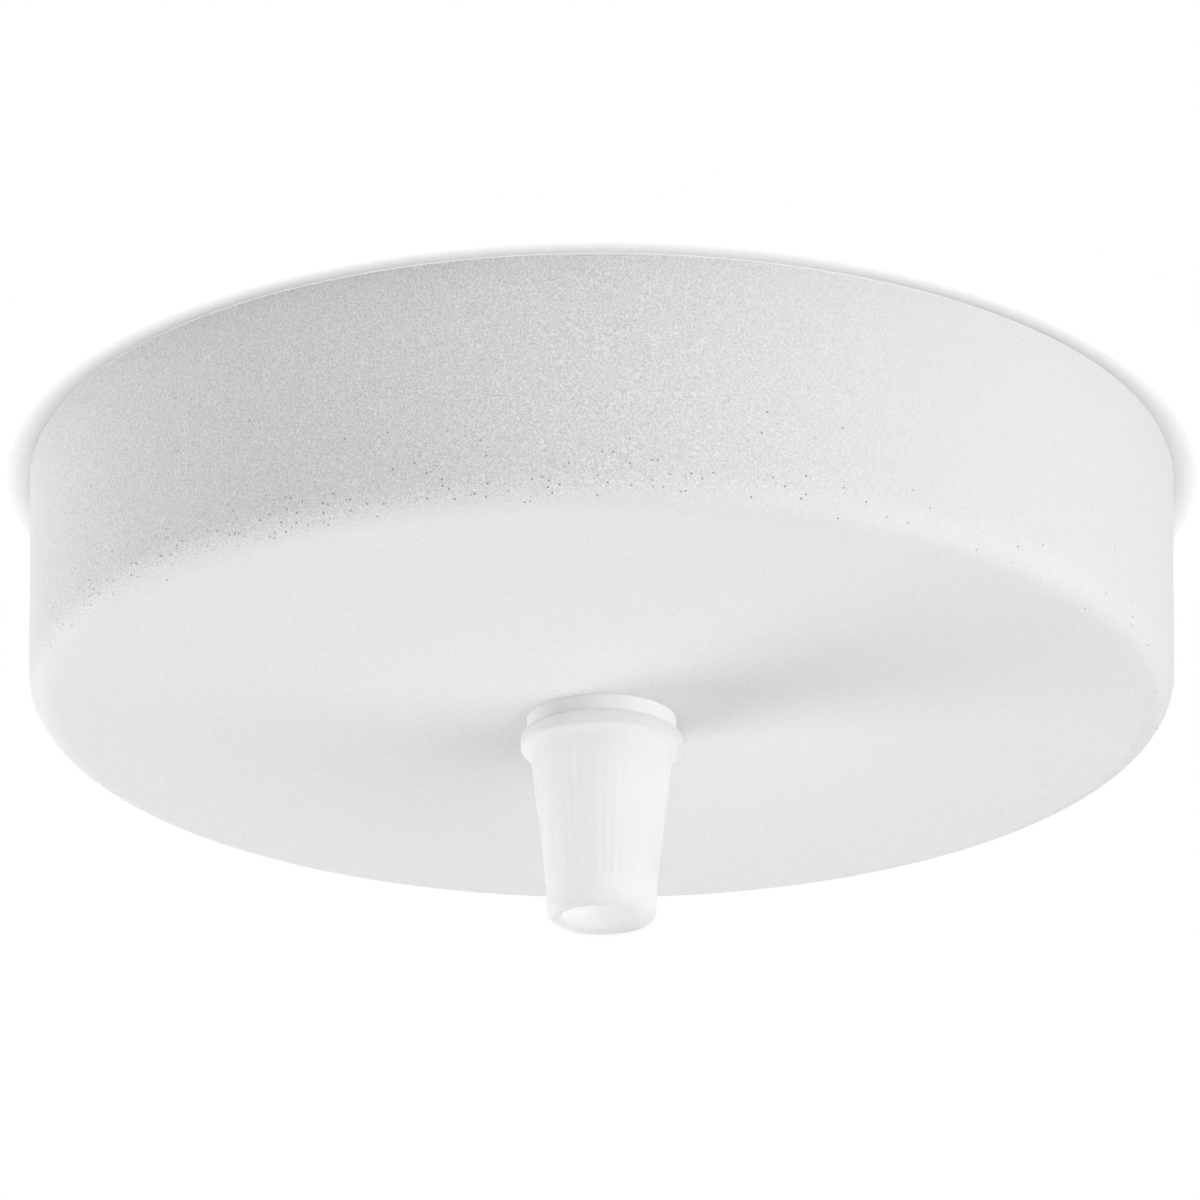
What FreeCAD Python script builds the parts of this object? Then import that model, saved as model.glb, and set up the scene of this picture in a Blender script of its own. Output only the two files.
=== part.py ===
import FreeCAD, Part
import math
import os
import Sketcher
from FreeCAD import Rotation, Vector
from types import SimpleNamespace

# Driving sizes in millimetres, with counts; z = 0 is the ceiling and the rose hangs below it
DIMENSIONS = {
    "cut_margin": 0.5,  # how far a cut runs on past the edge that it opens
    # Canopy, a drawn steel cup
    "canopy_diameter": 120.0,
    "canopy_height": 25.5,
    "canopy_draft": 0.75,  # how much narrower the cup is at its floor, on the radius
    "canopy_wall": 1.0,
    "canopy_bend": 3.5,  # outer radius between wall and floor
    "rim_chamfer": 0.25,
    "canopy_play": 0.3,  # gap round the nipple in the floor's hole
    # Hollow threaded nipple
    "nipple_diameter": 9.9,
    "nipple_bore": 7.6,
    "nipple_chamfer": 0.6,
    "nipple_stand": 1.2,  # how far it stands above the upper nut
    "nipple_reach": 9.3,  # how far it reaches below the canopy
    # Crossbar, a strip bent down in the middle
    "bar_end_gap": 5.0,  # from each end to the canopy's wall
    "bar_width": 18.0,
    "bar_thickness": 1.5,
    "bar_drop": 9.0,
    "bar_ramp": 5.0,
    "bar_foot": 13.0,
    "bar_bend": 1.5,  # inner radius of the four bends
    "bar_corner": 4.0,
    "bar_play": 0.2,  # gap round the nipple
    "slot_inset": 6.5,  # from the bar's end to the slot's middle
    "slot_width": 4.5,
    "slot_length": 8.0,
    # Hexagon nuts and toothed washer on the nipple
    "nut_flats": 14.0,
    "nut_thickness": 3.0,
    "washer_thickness": 0.8,
    "washer_diameter": 18.0,
    "washer_play": 0.25,
    "tooth_count": 12,
    "tooth_gap": 2.0,
    "tooth_depth": 2.2,
    # Bush in the nipple's upper end
    "bush_play": 0.05,
    "bush_wall": 0.65,
    "bush_length": 4.2,
    "bush_lip": 0.8,
    "bush_overhang": 0.95,
    "bush_round": 0.5,
    # Cord grip, upper half
    "thread_clearance": 0.06,
    "base_wall": 0.6,
    "base_web": 2.2,
    "nipple_end_gap": 0.5,
    "flange_thickness": 1.7,
    "flange_overhang": 2.15,
    "flange_round": 0.25,
    "base_chamfer": 0.5,
    # Cord grip, lower half
    "cap_gap": 0.1,  # open joint between flange and ring
    "cap_wall": 1.59,
    "cap_height": 20.0,
    "ring_step": 1.13,
    "ring_height": 3.0,
    "ring_bevel": 1.4,
    "ring_round": 0.5,
    "mouth_diameter": 8.2,
    "mouth_wall": 1.54,
    "mouth_length": 2.4,
    "mouth_step": 0.5,
    "mouth_round": 0.6,
    "tip_length": 3.0,  # smooth straight end below the cone
    "end_round": 0.9,
    "flute_count": 42,
    "flute_width": 0.7,
    "flute_floor": 0.2,
    "flute_depth": 0.12,
    "flute_margin": 0.4,  # smooth length left at the cone's end
    # Split collet inside the cap
    "seat_step": 0.26,
    "collet_play": 0.3,
    "collet_gap": 0.2,
    "collet_end_gap": 0.6,
    "collet_bore": 6.6,
    "collet_collar": 1.8,
    "slit_width": 0.8,
    "slit_count": 4,
    # Earth terminal on the crossbar
    "earth_offset": 22.0,
    "earth_screw_diameter": 3.9,
    "earth_screw_tip": 1.6,
    "earth_head_diameter": 7.6,
    "earth_head_height": 2.6,
    "clamp_side": 9.0,
    "clamp_sheet": 0.8,
    "clamp_lip": 1.2,
    "lock_washer_diameter": 7.0,
    "lock_washer_thickness": 0.8,
    "lock_washer_split": 0.7,
    "screw_play": 0.05,  # gap round every screw in its thread
    "pass_play": 0.15,  # gap round every screw in a plain hole
    "slot_share": 0.22,  # driver slot's width as a share of the head
    # Terminal block under the crossbar
    "block_offset": 23.0,
    "pole_pitch": 9.0,
    "block_length": 17.0,
    "tube_diameter": 5.0,
    "tube_bore": 3.2,
    "tube_inset": 0.5,
    "tube_play": 0.05,
    "barrel_wall": 0.6,
    "barrel_floor": 0.65,
    "turret_rise": 3.65,
    "turret_wall": 0.9,
    "turret_spread": 4.25,
    "web_thickness": 2.4,
    "web_length": 7.0,
    "boss_wall": 1.2,
    "terminal_screw_diameter": 2.8,
    "terminal_head_diameter": 4.0,
    "terminal_head_height": 1.7,
    "terminal_head_sink": 0.8,
    "terminal_tip_depth": 0.7,  # how far the tip stands in the tube's bore
    "block_screw_diameter": 2.9,
    "block_screw_tip": 1.0,
    "block_head_diameter": 5.2,
    "block_head_height": 1.9,
}
BEVEL_ANGLE = 30  # degrees, on the nuts' corners
POLES = (-1, 0, 1)
SIDES = (-1, 1)
SAME_PLACE = 1e-4


class Size:
    """A number together with the sheet formula that gives it."""

    def __init__(self, value, text):
        self.value = value
        self.text = text

    def joined(self, sign, other, value):
        return Size(value, f"({self.text} {sign} {formula(other)})")

    def __add__(self, other):
        return self.joined("+", other, self.value + number(other))

    def __sub__(self, other):
        return self.joined("-", other, self.value - number(other))

    def __mul__(self, other):
        return self.joined("*", other, self.value * number(other))

    def __truediv__(self, other):
        return self.joined("/", other, self.value / number(other))

    def __neg__(self):
        return self * -1

    def root(self):
        return Size(math.sqrt(self.value), f"sqrt({self.text})")

    def arctangent(self):
        return Size(math.degrees(math.atan(self.value)), f"atan({self.text})")


def number(size):
    return size.value if isinstance(size, Size) else size


def formula(size):
    return size.text if isinstance(size, Size) else repr(float(size))


def write_sheet():
    sheet = doc.addObject("Spreadsheet::Sheet", "Dims")
    for row, (name, value) in enumerate(DIMENSIONS.items(), start=1):
        sheet.set(f"A{row}", name)
        sheet.set(f"B{row}", str(value))
        sheet.setAlias(f"B{row}", name)
    doc.recompute()


def bind(thing, prop, size):
    thing.setExpression(prop, formula(size))


def new_body(label):
    body = doc.addObject("PartDesign::Body", label)
    body.Label = label
    return body


def put(piece, x=0, y=0, z=0):
    """Sets a finished piece at its place along the bar and below the ceiling."""
    for axis, size in (("x", x), ("y", y), ("z", z)):
        bind(piece, f"Placement.Base.{axis}", size)
    return piece


def origin_feature(body, role):
    return next(part for part in body.Origin.OriginFeatures if part.Role == role)


def sketch_on(body, plane, lift=0):
    sketch = body.newObject("Sketcher::SketchObject", "Outline")
    sketch.AttachmentSupport = (origin_feature(body, plane), [""])
    sketch.MapMode = "FlatFace"
    bind(sketch, "AttachmentOffset.Base.z", lift)
    return sketch


def tie(sketch, constraint, size):
    row = sketch.addConstraint(constraint)
    sketch.setExpression(f"Constraints[{row}]", formula(size))


def place_point(sketch, edge, end, x, y):
    """Ties one point of a sketch to its two coordinates."""
    for kind, axis, size in (("DistanceX", -2, x), ("DistanceY", -1, y)):
        if abs(number(size)) < SAME_PLACE:
            sketch.addConstraint(Sketcher.Constraint("PointOnObject", edge, end, axis))
        else:
            tie(sketch, Sketcher.Constraint(kind, -1, 1, edge, end, number(size)), size)


def add_outline(sketch, corners):
    """Closed outline of straight edges through the given corners."""
    first = sketch.GeometryCount
    count = len(corners)
    points = [Vector(number(x), number(y), 0) for x, y in corners]
    for start, end in zip(points, points[1:] + points[:1]):
        sketch.addGeometry(Part.LineSegment(start, end))
    for step, (x, y) in enumerate(corners):
        following = first + (step + 1) % count
        sketch.addConstraint(Sketcher.Constraint("Coincident", first + step, 2, following, 1))
        place_point(sketch, first + step, 1, x, y)


def add_rectangle(sketch, left, right, bottom, top):
    add_outline(sketch, [(left, bottom), (right, bottom), (right, top), (left, top)])


def add_circle(sketch, x, y, radius):
    centre = Vector(number(x), number(y), 0)
    edge = sketch.addGeometry(Part.Circle(centre, Vector(0, 0, 1), number(radius)))
    place_point(sketch, edge, 3, x, y)
    tie(sketch, Sketcher.Constraint("Radius", edge, number(radius)), radius)


def add_slot(sketch, left, right, radius):
    """Round-ended slot on the sketch's own X axis, between two end centres."""
    x_low, x_high, r = number(left), number(right), number(radius)
    ends = [Part.Circle(Vector(x, 0, 0), Vector(0, 0, 1), r) for x in (x_low, x_high)]
    quarter = math.pi / 2
    low = sketch.addGeometry(Part.LineSegment(Vector(x_low, -r, 0), Vector(x_high, -r, 0)))
    right_end = sketch.addGeometry(Part.ArcOfCircle(ends[1], -quarter, quarter))
    high = sketch.addGeometry(Part.LineSegment(Vector(x_high, r, 0), Vector(x_low, r, 0)))
    left_end = sketch.addGeometry(Part.ArcOfCircle(ends[0], quarter, 3 * quarter))
    around = [low, right_end, high, left_end]
    for edge, following in zip(around, around[1:] + around[:1]):
        sketch.addConstraint(Sketcher.Constraint("Tangent", edge, 2, following, 1))
    sketch.addConstraint(Sketcher.Constraint("Horizontal", low))
    place_point(sketch, right_end, 3, right, 0)
    place_point(sketch, left_end, 3, left, 0)
    tie(sketch, Sketcher.Constraint("Radius", right_end, r), radius)


def add_arch(sketch, half_width, spring):
    """Outline with a flat top on the X axis, two straight sides and a round underside."""
    half, low = number(half_width), number(spring)
    ring = Part.Circle(Vector(0, low, 0), Vector(0, 0, 1), half)
    right = sketch.addGeometry(Part.LineSegment(Vector(half, 0, 0), Vector(half, low, 0)))
    left = sketch.addGeometry(Part.LineSegment(Vector(-half, low, 0), Vector(-half, 0, 0)))
    top = sketch.addGeometry(Part.LineSegment(Vector(-half, 0, 0), Vector(half, 0, 0)))
    under = sketch.addGeometry(Part.ArcOfCircle(ring, math.pi, 2 * math.pi))
    sketch.addConstraint(Sketcher.Constraint("Coincident", left, 2, top, 1))
    sketch.addConstraint(Sketcher.Constraint("Coincident", top, 2, right, 1))
    sketch.addConstraint(Sketcher.Constraint("Tangent", right, 2, under, 2))
    sketch.addConstraint(Sketcher.Constraint("Tangent", under, 1, left, 1))
    sketch.addConstraint(Sketcher.Constraint("Vertical", right))
    place_point(sketch, top, 1, -half_width, 0)
    place_point(sketch, top, 2, half_width, 0)
    tie(sketch, Sketcher.Constraint("DistanceY", -1, 1, under, 3, low), spring)


def pad(body, sketch, length, downward=False, both_ways=False):
    feature = body.newObject("PartDesign::Pad", "Pad")
    feature.Profile = sketch
    feature.Reversed = downward
    if both_ways:
        feature.SideType = "Symmetric"
    bind(feature, "Length", length)
    doc.recompute()
    return feature


def pocket(body, sketch, depth=None, upward=False):
    """Cuts a sketch out to a depth, or right through both ways."""
    volume = body.Shape.Volume
    feature = body.newObject("PartDesign::Pocket", "Pocket")
    feature.Profile = sketch
    feature.Reversed = upward
    if depth is None:
        feature.Type = "ThroughAll"
        feature.SideType = "Symmetric"
    else:
        bind(feature, "Length", depth)
    doc.recompute()
    if not body.Shape.Volume < volume:
        raise RuntimeError(f"a pocket in {body.Label} removes nothing")
    return feature


def revolve(body, corners, kind="Revolution"):
    """Turns an outline of radius and height about the piece's own Z axis."""
    sketch = sketch_on(body, "XZ_Plane")
    add_outline(sketch, corners)
    feature = body.newObject(f"PartDesign::{kind}", kind)
    feature.Profile = sketch
    feature.ReferenceAxis = (sketch, ["V_Axis"])
    feature.Angle = 360
    doc.recompute()
    return feature


def around_axis(body, feature, count):
    pattern = body.newObject("PartDesign::PolarPattern", "Around")
    pattern.Originals = [feature]
    pattern.Axis = (origin_feature(body, "Z_Axis"), [""])
    pattern.Angle = 360
    bind(pattern, "Occurrences", count)
    body.Tip = pattern
    doc.recompute()
    return pattern


def along_bar(body, features, length, count):
    pattern = body.newObject("PartDesign::LinearPattern", "Row")
    pattern.Originals = features
    pattern.Direction = (origin_feature(body, "X_Axis"), [""])
    bind(pattern, "Length", length)
    pattern.Occurrences = count
    body.Tip = pattern
    doc.recompute()
    return pattern


def dress(body, kind, base, edges, size):
    """Fillet or chamfer on edges that were found by their place."""
    if not edges:
        raise RuntimeError(f"no edge found for a {kind} on {body.Label}")
    feature = body.newObject(f"PartDesign::{kind}", kind)
    feature.Base = (base, edges)
    bind(feature, {"Fillet": "Radius", "Chamfer": "Size"}[kind], size)
    doc.recompute()
    return feature


def ring_edges(feature, *rings):
    """Names of the round edges about the Z axis with these radii and heights."""
    names = []
    for position, edge in enumerate(feature.Shape.Edges, start=1):
        if not isinstance(edge.Curve, Part.Circle):
            continue
        for radius, height in rings:
            off_radius = abs(edge.Curve.Radius - number(radius))
            off_height = abs(edge.Curve.Center.z - number(height))
            if max(off_radius, off_height) < SAME_PLACE:
                names.append(f"Edge{position}")
    return names


def straight_edges(feature, axis, *places):
    """Names of the straight edges along one axis that pass through these places."""
    names = []
    for position, edge in enumerate(feature.Shape.Edges, start=1):
        start, end = edge.Vertexes[0].Point, edge.Vertexes[-1].Point
        run = end - start
        if abs(run.Length - abs(run.dot(axis))) > SAME_PLACE:
            continue
        for x, y, z in places:
            offset = Vector(number(x), number(y), number(z)) - start
            if (offset - axis * offset.dot(axis)).Length < SAME_PLACE:
                names.append(f"Edge{position}")
    return names


def flat_face(feature, height):
    """Name of the level face at this height."""
    for position, face in enumerate(feature.Shape.Faces, start=1):
        box = face.BoundBox
        if box.ZLength < SAME_PLACE and abs(box.ZMin - number(height)) < SAME_PLACE:
            return f"Face{position}"
    raise RuntimeError("no level face at that height")


doc = FreeCAD.newDocument("CeilingRose")
write_sheet()
d = SimpleNamespace(**{name: Size(value, f"Dims.{name}") for name, value in DIMENSIONS.items()})

# Levels and radii that several pieces share, each from the driving sizes
nipple_radius = d.nipple_diameter / 2
nipple_top = d.nut_thickness + d.nipple_stand - d.bar_drop
bar_half = d.canopy_diameter / 2 - d.canopy_wall - d.bar_end_gap
bar_under = d.bar_drop + d.bar_thickness
slot_place = bar_half - d.slot_inset
socket_radius = nipple_radius + d.thread_clearance
socket_depth = d.nipple_reach + d.nipple_end_gap
base_radius = socket_radius + d.base_wall
base_height = socket_depth + d.base_web
flange_radius = base_radius + d.flange_overhang
cap_top = d.canopy_height + d.flange_thickness + d.cap_gap
cap_bore = base_radius + d.thread_clearance
mouth_radius = d.mouth_diameter / 2
seat_depth = base_height - d.flange_thickness - d.cap_gap + d.collet_play
seat_end_depth = d.cap_height - d.mouth_length
seat_radius = cap_bore - d.seat_step
seat_end_radius = mouth_radius + d.mouth_step
tube_axis = d.barrel_floor + d.tube_play + d.tube_diameter / 2
barrel_half = d.tube_diameter / 2 + d.tube_play + d.barrel_wall
barrel_depth = tube_axis + barrel_half
block_depth = barrel_depth + d.turret_rise


def canopy():
    body = new_body("canopy")
    outer = d.canopy_diameter / 2
    foot = outer - d.canopy_draft
    floor = -d.canopy_height
    blank = revolve(body, [(0, 0), (outer, 0), (foot, floor), (0, floor)])
    bend = dress(body, "Fillet", blank, ring_edges(blank, (foot, floor)), d.canopy_bend)
    shell = body.newObject("PartDesign::Thickness", "Shell")
    shell.Base = (bend, [flat_face(bend, 0)])
    shell.Reversed = True
    bind(shell, "Value", d.canopy_wall)
    doc.recompute()
    hole = sketch_on(body, "XY_Plane")
    add_circle(hole, 0, 0, nipple_radius + d.canopy_play)
    pierced = pocket(body, hole)
    dress(body, "Chamfer", pierced, ring_edges(pierced, (outer, 0)), d.rim_chamfer)
    return put(body)


def threaded_nipple():
    body = new_body("threaded_nipple")
    section = sketch_on(body, "XY_Plane")
    add_circle(section, 0, 0, nipple_radius)
    add_circle(section, 0, 0, d.nipple_bore / 2)
    length = nipple_top + d.canopy_height + d.nipple_reach
    tube = pad(body, section, length, downward=True)
    ends = ring_edges(tube, (nipple_radius, 0), (nipple_radius, -length))
    dress(body, "Chamfer", tube, ends, d.nipple_chamfer)
    return put(body, z=nipple_top)


def crossbar():
    body = new_body("crossbar")
    foot_start = bar_half - d.bar_foot
    middle_end = foot_start - d.bar_ramp
    slant = (d.bar_ramp * d.bar_ramp + d.bar_drop * d.bar_drop).root()
    shift = d.bar_thickness * (slant - d.bar_ramp) / d.bar_drop
    upper = [(bar_half, 0), (foot_start, 0), (middle_end, -d.bar_drop)]
    lower = [
        (middle_end + shift, -bar_under),
        (foot_start + shift, -d.bar_thickness),
        (bar_half, -d.bar_thickness),
    ]
    right = lower + upper
    strip = sketch_on(body, "XZ_Plane")
    add_outline(strip, right + [(-x, z) for x, z in reversed(right)])
    bar = pad(body, strip, d.bar_width, both_ways=True)
    along_width = Vector(0, 1, 0)
    outer_bends = [(x * side, 0, z) for x, z in (upper[1], lower[0]) for side in SIDES]
    inner_bends = [(x * side, 0, z) for x, z in (upper[2], lower[1]) for side in SIDES]
    edges = straight_edges(bar, along_width, *outer_bends)
    bar = dress(body, "Fillet", bar, edges, d.bar_bend + d.bar_thickness)
    edges = straight_edges(bar, along_width, *inner_bends)
    bar = dress(body, "Fillet", bar, edges, d.bar_bend)
    half_width = d.bar_width / 2
    corners = [(bar_half * side, half_width * edge, 0) for side in SIDES for edge in SIDES]
    bar = dress(body, "Fillet", bar, straight_edges(bar, Vector(0, 0, 1), *corners), d.bar_corner)
    openings = sketch_on(body, "XY_Plane")
    half_slot = (d.slot_length - d.slot_width) / 2
    for side in SIDES:
        middle = slot_place * side
        add_slot(openings, middle - half_slot, middle + half_slot, d.slot_width / 2)
    add_circle(openings, 0, 0, nipple_radius + d.bar_play)
    add_circle(openings, -d.earth_offset, 0, d.earth_screw_diameter / 2 + d.screw_play)
    for side in SIDES:
        place = d.block_offset + d.pole_pitch * side / 2
        add_circle(openings, place, 0, d.block_screw_diameter / 2 + d.screw_play)
    pocket(body, openings)
    return put(body)


def hex_nut(label, level):
    """Hexagon nut with both faces bevelled at the corners."""
    body = new_body(label)
    flat = d.nut_flats / 2
    corner = flat * (2 / math.sqrt(3))
    turns = [math.radians(60 * step) for step in range(6)]
    blank = sketch_on(body, "XY_Plane")
    add_outline(blank, [(corner * math.cos(turn), corner * math.sin(turn)) for turn in turns])
    add_circle(blank, 0, 0, socket_radius)
    pad(body, blank, d.nut_thickness)
    beyond = corner + d.cut_margin
    fall = (beyond - flat) * math.tan(math.radians(BEVEL_ANGLE))
    top = d.nut_thickness
    revolve(body, [(flat, 0), (beyond, 0), (beyond, fall)], "Groove")
    revolve(body, [(flat, top), (beyond, top), (beyond, top - fall)], "Groove")
    return put(body, z=level)


def toothed_washer():
    body = new_body("toothed_washer")
    outer = d.washer_diameter / 2
    ring = sketch_on(body, "XY_Plane")
    add_circle(ring, 0, 0, outer)
    add_circle(ring, 0, 0, nipple_radius + d.washer_play)
    pad(body, ring, d.washer_thickness, downward=True)
    notch = sketch_on(body, "XY_Plane")
    half_gap = d.tooth_gap / 2
    root = outer - d.tooth_depth
    flanks = [(root, half_gap / 2), (outer + d.cut_margin, half_gap)]
    add_outline(notch, flanks + [(x, -y) for x, y in reversed(flanks)])
    around_axis(body, pocket(body, notch), d.tooth_count)
    return put(body, z=-bar_under)


def edge_bush():
    body = new_body("edge_bush")
    spigot = d.nipple_bore / 2 - d.bush_play
    bore = spigot - d.bush_wall
    lip = spigot + d.bush_overhang
    corners = [(bore, d.bush_lip), (lip, d.bush_lip), (lip, 0), (spigot, 0)]
    bush = revolve(body, corners + [(spigot, -d.bush_length), (bore, -d.bush_length)])
    dress(body, "Fillet", bush, ring_edges(bush, (bore, d.bush_lip)), d.bush_round)
    return put(body, z=nipple_top)


def grip_base():
    body = new_body("grip_base")
    bore = d.nipple_bore / 2
    low_flange = -d.flange_thickness
    flange = [(socket_radius, 0), (flange_radius, 0), (flange_radius, low_flange)]
    shank = [(base_radius, low_flange), (base_radius, -base_height), (bore, -base_height)]
    socket = [(bore, -socket_depth), (socket_radius, -socket_depth)]
    base = revolve(body, flange + shank + socket)
    base = dress(body, "Fillet", base, ring_edges(base, (flange_radius, low_flange)), d.flange_round)
    dress(body, "Chamfer", base, ring_edges(base, (base_radius, -base_height)), d.base_chamfer)
    return put(body, z=-d.canopy_height)


def grip_cap():
    """Ring and fluted cone, threaded above and tapered inside to press on the collet."""
    body = new_body("grip_cap")
    cone_top = cap_bore + d.cap_wall
    cone_end = mouth_radius + d.mouth_wall
    ring = cone_top + d.ring_step
    outside = [
        (cap_bore, 0),
        (ring, 0),
        (ring, d.ring_bevel - d.ring_height),
        (cone_top, -d.ring_height),
        (cone_end, d.tip_length - d.cap_height),
        (cone_end, -d.cap_height),
    ]
    inside = [
        (mouth_radius, -d.cap_height),
        (mouth_radius, -seat_end_depth),
        (seat_end_radius, -seat_end_depth),
        (seat_radius, -seat_depth),
        (cap_bore, -seat_depth),
    ]
    cap = revolve(body, outside + inside)
    cap = dress(body, "Fillet", cap, ring_edges(cap, (ring, 0)), d.ring_round)
    cap = dress(body, "Fillet", cap, ring_edges(cap, (cone_end, -d.cap_height)), d.end_round)
    cap = dress(body, "Fillet", cap, ring_edges(cap, (mouth_radius, -d.cap_height)), d.mouth_round)
    run = cone_top - cone_end
    fall = d.cap_height - d.tip_length - d.ring_height
    flute = sketch_on(body, "XY_Plane", lift=-d.ring_height)
    offset = flute.AttachmentOffset
    offset.Rotation = Rotation(Vector(0, 1, 0), (run / fall).arctangent().value)
    flute.AttachmentOffset = offset
    bind(flute, "AttachmentOffset.Base.x", cone_top)
    bind(flute, "AttachmentOffset.Rotation.Angle", (run / fall).arctangent())
    floor_half = d.flute_floor / 2
    mouth_half = d.flute_width - floor_half  # both flanks run on as far outside as the flute is deep
    flanks = [(-d.flute_depth, floor_half), (d.flute_depth, mouth_half)]
    add_outline(flute, flanks + [(x, -y) for x, y in reversed(flanks)])
    slant = (run * run + fall * fall).root()
    groove = pocket(body, flute, slant - d.flute_margin)
    around_axis(body, groove, d.flute_count)
    return put(body, z=-cap_top)


def grip_collet():
    body = new_body("grip_collet")
    height = seat_end_depth - seat_depth - d.collet_end_gap
    slope = (seat_radius - seat_end_radius) / (seat_end_depth - seat_depth)
    bore = d.collet_bore / 2
    top = seat_radius - d.collet_gap
    revolve(body, [(bore, 0), (top, 0), (top - slope * height, -height), (bore, -height)])
    slit = sketch_on(body, "XY_Plane", lift=-height)
    add_rectangle(slit, 0, top, -d.slit_width / 2, d.slit_width / 2)
    around_axis(body, pocket(body, slit, height - d.collet_collar, upward=True), d.slit_count)
    return put(body, z=-(cap_top + seat_depth))


def slotted_screw(name, diameter, length, head_diameter, head_height):
    """Cheese-head screw with its bearing face at its origin and its shank upward."""
    shank = doc.addObject("Part::Cylinder", f"{name}_shank")
    bind(shank, "Radius", diameter / 2)
    bind(shank, "Height", length)
    head = doc.addObject("Part::Cylinder", f"{name}_head")
    bind(head, "Radius", head_diameter / 2)
    bind(head, "Height", head_height)
    put(head, z=-head_height)
    slot = doc.addObject("Part::Box", f"{name}_slot")
    slot_width = head_diameter * d.slot_share
    slot_half = head_diameter / 2 + d.cut_margin
    bind(slot, "Length", slot_half * 2)
    bind(slot, "Width", slot_width)
    bind(slot, "Height", head_height / 2 + d.cut_margin)
    put(slot, -slot_half, -slot_width / 2, -(head_height + d.cut_margin))
    blank = doc.addObject("Part::Fuse", f"{name}_blank")
    blank.Base = shank
    blank.Tool = head
    screw = doc.addObject("Part::Cut", name)
    screw.Base = blank
    screw.Tool = slot
    return screw


def group(label, members):
    """Like fasteners as separate solids of one piece."""
    together = doc.addObject("Part::Compound", label)
    together.Links = members
    return together


def earth_clamp():
    """Square clamp plate whose two lips stand against the bar."""
    body = new_body("earth_clamp")
    half = d.clamp_side / 2
    inner = half - d.clamp_sheet
    low = -d.clamp_lip - d.clamp_sheet
    section = sketch_on(body, "XZ_Plane")
    channel = [(inner, 0), (inner, -d.clamp_lip), (-inner, -d.clamp_lip), (-inner, 0)]
    add_outline(section, [(-half, 0), (-half, low), (half, low), (half, 0)] + channel)
    pad(body, section, d.clamp_side, both_ways=True)
    hole = sketch_on(body, "XY_Plane")
    add_circle(hole, 0, 0, d.earth_screw_diameter / 2 + d.pass_play)
    pocket(body, hole)
    return put(body, x=-d.earth_offset, z=-bar_under)


def earth_lock_washer():
    body = new_body("earth_lock_washer")
    outer = d.lock_washer_diameter / 2
    ring = sketch_on(body, "XY_Plane")
    add_circle(ring, 0, 0, outer)
    add_circle(ring, 0, 0, d.earth_screw_diameter / 2 + d.pass_play)
    pad(body, ring, d.lock_washer_thickness, downward=True)
    split = sketch_on(body, "XY_Plane")
    add_rectangle(split, 0, outer + d.cut_margin, -d.lock_washer_split / 2, d.lock_washer_split / 2)
    pocket(body, split)
    return put(body, x=-d.earth_offset, z=-(bar_under + d.clamp_lip + d.clamp_sheet))


def earth_screw():
    under_head = d.clamp_lip + d.clamp_sheet + d.lock_washer_thickness
    length = under_head + d.bar_thickness + d.earth_screw_tip
    sizes = (d.earth_screw_diameter, length, d.earth_head_diameter, d.earth_head_height)
    screw = slotted_screw("earth_screw", *sizes)
    return put(screw, x=-d.earth_offset, z=-(bar_under + under_head))


def terminal_block():
    """Three round barrels on a web, with two screw turrets each and bosses between them."""
    body = new_body("terminal_block")
    span = d.pole_pitch * (len(POLES) - 1)
    first = -d.pole_pitch
    web = sketch_on(body, "XY_Plane")
    add_rectangle(web, first, d.pole_pitch, -d.web_length / 2, d.web_length / 2)
    pad(body, web, d.web_thickness, downward=True)
    barrel = sketch_on(body, "XZ_Plane")
    add_arch(barrel, barrel_half, -tube_axis)
    bind(barrel, "AttachmentOffset.Base.x", first)
    barrels = [pad(body, barrel, d.block_length, both_ways=True)]
    screw_way = d.terminal_head_diameter / 2 + d.pass_play
    turret = sketch_on(body, "XY_Plane")
    for side in SIDES:
        add_circle(turret, first, d.turret_spread * side, screw_way + d.turret_wall)
    barrels.append(pad(body, turret, block_depth, downward=True))
    along_bar(body, barrels, span, len(POLES))
    bosses = sketch_on(body, "XY_Plane")
    boss_hole = d.block_screw_diameter / 2 + d.pass_play
    for side in SIDES:
        add_circle(bosses, d.pole_pitch * side / 2, 0, boss_hole + d.boss_wall)
    pad(body, bosses, barrel_depth, downward=True)
    holes = sketch_on(body, "XY_Plane")
    for side in SIDES:
        add_circle(holes, d.pole_pitch * side / 2, 0, boss_hole)
    pocket(body, holes)
    wells = sketch_on(body, "XY_Plane", lift=-block_depth)
    for side in SIDES:
        add_circle(wells, first, d.turret_spread * side, screw_way)
    cuts = [pocket(body, wells, block_depth - tube_axis, upward=True)]
    tube_way = sketch_on(body, "XZ_Plane")
    add_circle(tube_way, first, -tube_axis, d.tube_diameter / 2 + d.tube_play)
    cuts.append(pocket(body, tube_way))
    along_bar(body, cuts, span, len(POLES))
    return put(body, x=d.block_offset, z=-bar_under)


def terminal_tube(pole):
    body = new_body(f"terminal_tube_{pole + 2}")
    section = sketch_on(body, "XZ_Plane")
    add_circle(section, 0, 0, d.tube_diameter / 2)
    add_circle(section, 0, 0, d.tube_bore / 2)
    pad(body, section, d.block_length - d.tube_inset * 2, both_ways=True)
    taps = sketch_on(body, "XY_Plane")
    for side in SIDES:
        add_circle(taps, 0, d.turret_spread * side, d.terminal_screw_diameter / 2 + d.screw_play)
    pocket(body, taps, d.tube_diameter)
    return put(body, x=d.block_offset + d.pole_pitch * pole, z=-(bar_under + tube_axis))


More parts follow.
